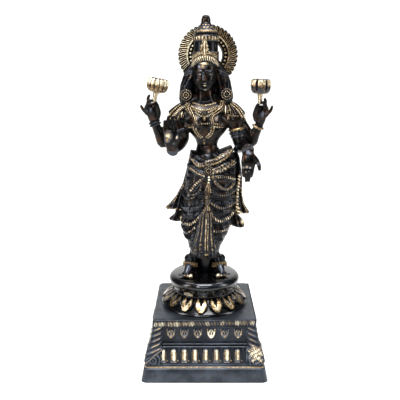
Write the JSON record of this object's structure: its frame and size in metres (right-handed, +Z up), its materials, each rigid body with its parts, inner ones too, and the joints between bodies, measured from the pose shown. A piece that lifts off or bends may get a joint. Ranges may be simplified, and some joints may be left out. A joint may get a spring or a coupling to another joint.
{
  "type": "standing goddess figure",
  "caption": "Standing goddess in cast brass with two pairs of arms, lotus flowers, tall crown and openwork halo, on a round lotus and a square stepped plinth.",
  "frame": {"origin": "centre of the square plinth's underside", "axes": "+Z up through the figure, -Y the way it faces, +X to its left"},
  "size_m": [0.2232, 0.214, 0.6001],
  "materials": {
    "plinth_brass": "blackened, matt, with rubbed gold relief",
    "lotus_brass": "blackened, glossy, with rubbed gold petals",
    "figure_brass": "blackened, glossy, with rubbed gold ornament"
  },
  "bodies": {
    "root": {"plinth": "plinth_brass", "lotus_base": "lotus_brass", "figure": "figure_brass"}
  },
  "joints": []
}
